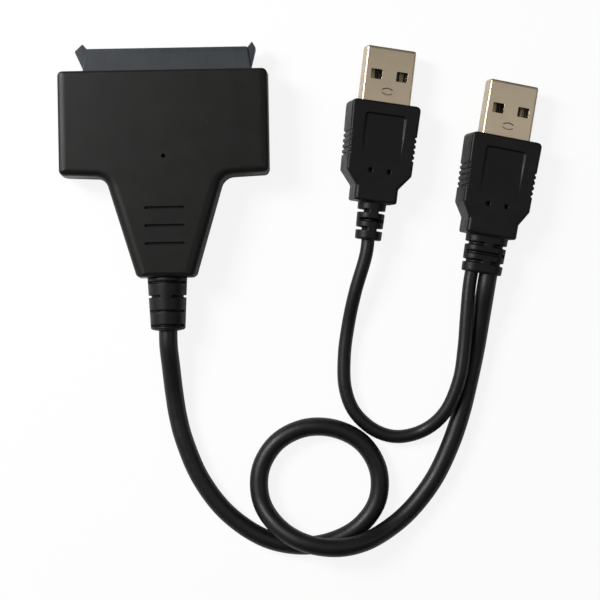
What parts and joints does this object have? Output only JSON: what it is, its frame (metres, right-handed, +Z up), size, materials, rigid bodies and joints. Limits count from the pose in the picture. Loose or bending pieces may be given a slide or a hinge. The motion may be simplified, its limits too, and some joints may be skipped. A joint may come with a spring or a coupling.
{
  "type": "usb to sata adapter",
  "caption": "Drive adapter: a flat T-shaped head with a combined data and power connector, a looped main cable and two plugs joined by a thinner power cable.",
  "frame": {"origin": "middle of the head's flat base, on the table; the head runs from its strain relief's end to its connector's ear tips, without the cables and plugs", "axes": "+X to the right across the head, +Y toward the drive connector's mouth, +Z up from the table"},
  "size_m": [0.1136, 0.122, 0.011],
  "materials": {
    "housing_plastic": "fine matt grain",
    "connector_plastic": "satin, slate grey",
    "grip_rubber": "satin black moulding",
    "cable_rubber": "satin black jacket",
    "insulator_plastic": "matt black",
    "plated_steel": "nickel plated, faintly warm",
    "gilded_contact": "thin gold plating",
    "circuit_board": "green solder mask",
    "chip_resin": "matt moulded resin",
    "ceramic": "fired ceramic",
    "light_lens": "clear lens",
    "wire_red": "satin",
    "wire_white": "satin",
    "wire_green": "satin",
    "wire_black": "satin"
  },
  "bodies": {
    "root": {"upper_shell": "housing_plastic", "lower_shell": "housing_plastic", "sata_connector_body": "connector_plastic", "circuit_board": "circuit_board", "bridge_chip": "chip_resin", "crystal": "plated_steel", "capacitor_1": "ceramic", "capacitor_2": "ceramic", "status_light": "light_lens", "voltage_regulator": "chip_resin", "head_strain_relief": "grip_rubber", "main_cable": "cable_rubber", "power_cable": "cable_rubber", "data_contact_1": "gilded_contact", "data_contact_2": "gilded_contact", "data_contact_3": "gilded_contact", "data_contact_4": "gilded_contact", "data_contact_5": "gilded_contact", "data_contact_6": "gilded_contact", "data_contact_7": "gilded_contact", "power_contact_1": "gilded_contact", "power_contact_2": "gilded_contact", "power_contact_3": "gilded_contact", "power_contact_4": "gilded_contact", "power_contact_5": "gilded_contact", "power_contact_6": "gilded_contact", "power_contact_7": "gilded_contact", "power_contact_8": "gilded_contact", "power_contact_9": "gilded_contact", "power_contact_10": "gilded_contact", "power_contact_11": "gilded_contact", "power_contact_12": "gilded_contact", "power_contact_13": "gilded_contact", "power_contact_14": "gilded_contact", "power_contact_15": "gilded_contact", "core_wire_red": "wire_red", "core_wire_white": "wire_white", "core_wire_green": "wire_green", "core_wire_black": "wire_black", "data_plug_grip": "grip_rubber", "data_plug_shell": "plated_steel", "data_plug_insulator": "insulator_plastic", "data_plug_contact_1": "gilded_contact", "data_plug_contact_2": "gilded_contact", "data_plug_contact_3": "gilded_contact", "data_plug_contact_4": "gilded_contact", "power_plug_grip": "grip_rubber", "power_plug_shell": "plated_steel", "power_plug_insulator": "insulator_plastic", "power_plug_contact_1": "gilded_contact", "power_plug_contact_2": "gilded_contact", "power_plug_contact_3": "gilded_contact", "power_plug_contact_4": "gilded_contact"}
  },
  "joints": []
}
